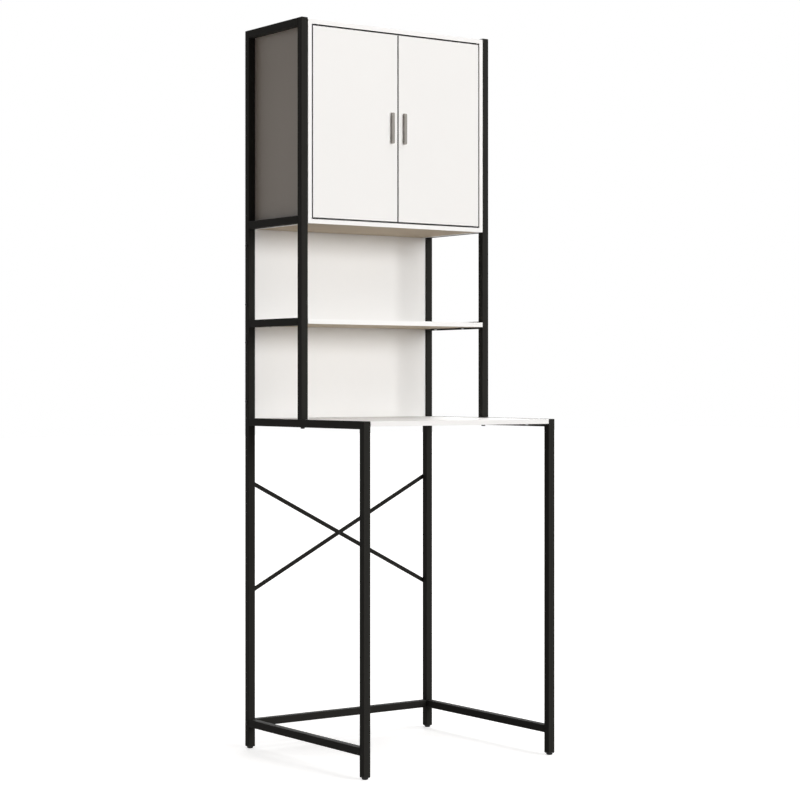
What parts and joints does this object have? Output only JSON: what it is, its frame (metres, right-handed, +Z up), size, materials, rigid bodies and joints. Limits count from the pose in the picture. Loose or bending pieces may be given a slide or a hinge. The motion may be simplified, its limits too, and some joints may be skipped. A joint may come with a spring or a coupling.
{
  "type": "bathroom cabinet",
  "caption": "Two-door white cabinet at the top of a tall black square-tube rack, over a shelf, back panels and a table board with an open appliance bay below.",
  "frame": {"origin": "On the floor, under the middle of the bounding box.", "axes": "+Z is up, -Y is the front with the doors, +X is the right side as seen from the front."},
  "size_m": [0.646, 0.596, 2.017],
  "materials": {
    "black_coat": "fine-textured matt black powder coat",
    "black_steel": "satin black fasteners",
    "black_plastic": "moulded matt black plastic",
    "white_board": "board faced with satin white melamine",
    "white_plastic": "moulded off-white plastic",
    "brushed_nickel": "brushed nickel",
    "zinc": "bright zinc plate"
  },
  "bodies": {
    "frame": {"front_leg_left": "black_coat", "rear_leg_left": "black_coat", "front_post_left": "black_coat", "rear_post_left": "black_coat", "floor_rail_left": "black_coat", "table_rail_left": "black_coat", "shelf_rail_left": "black_coat", "cabinet_rail_left": "black_coat", "top_rail_left": "black_coat", "front_leg_right": "black_coat", "rear_leg_right": "black_coat", "front_post_right": "black_coat", "rear_post_right": "black_coat", "floor_rail_right": "black_coat", "table_rail_right": "black_coat", "shelf_rail_right": "black_coat", "cabinet_rail_right": "black_coat", "top_rail_right": "black_coat", "rear_cross_rail": "black_coat", "brace_bar_inner": "black_coat", "brace_bar_outer": "black_coat", "cross_rail_bolt_left": "black_steel", "post_bolt_left": "black_steel", "panel_screw_left_1": "black_steel", "panel_screw_left_2": "black_steel", "panel_screw_left_3": "black_steel", "panel_screw_left_4": "black_steel", "hinge_bush_lower_left": "black_plastic", "hinge_bush_upper_left": "black_plastic", "cabinet_side_left": "white_board", "cross_rail_bolt_right": "black_steel", "post_bolt_right": "black_steel", "panel_screw_right_1": "black_steel", "panel_screw_right_2": "black_steel", "panel_screw_right_3": "black_steel", "panel_screw_right_4": "black_steel", "hinge_bush_lower_right": "black_plastic", "hinge_bush_upper_right": "black_plastic", "cabinet_side_right": "white_board", "table_board": "white_board", "shelf_board": "white_board", "back_panel_lower": "white_board", "back_panel_upper": "white_board", "cabinet_bottom": "white_board", "cabinet_top": "white_board", "cabinet_back": "white_board", "inner_shelf": "white_board", "magnetic_catch": "white_plastic"},
    "door_left": {"door_left": "white_board", "handle_left": "brushed_nickel", "door_pin_lower_left": "zinc", "door_pin_upper_left": "zinc"},
    "door_right": {"door_right": "white_board", "handle_right": "brushed_nickel", "door_pin_lower_right": "zinc", "door_pin_upper_right": "zinc"},
    "foot_front_left": {"foot_front_left": "black_plastic"},
    "foot_front_right": {"foot_front_right": "black_plastic"},
    "foot_rear_left": {"foot_rear_left": "black_plastic"},
    "foot_rear_right": {"foot_rear_right": "black_plastic"}
  },
  "joints": [
    {"name": "door_left_hinge", "type": "hinge", "parent": "frame", "child": "door_left", "pos_m": [-0.2717, 0.0045, 1.4756], "axis": [0, 0, -1], "range_deg": [0, 110]},
    {"name": "door_right_hinge", "type": "hinge", "parent": "frame", "child": "door_right", "pos_m": [0.2717, 0.0045, 1.4756], "axis": [0, 0, 1], "range_deg": [0, 110]},
    {"name": "foot_front_left_screw", "type": "slide", "parent": "frame", "child": "foot_front_left", "axis": [0, 0, -1], "range_m": [0, 0.008]},
    {"name": "foot_front_right_screw", "type": "slide", "parent": "frame", "child": "foot_front_right", "axis": [0, 0, -1], "range_m": [0, 0.008]},
    {"name": "foot_rear_left_screw", "type": "slide", "parent": "frame", "child": "foot_rear_left", "axis": [0, 0, -1], "range_m": [0, 0.008]},
    {"name": "foot_rear_right_screw", "type": "slide", "parent": "frame", "child": "foot_rear_right", "axis": [0, 0, -1], "range_m": [0, 0.008]}
  ]
}
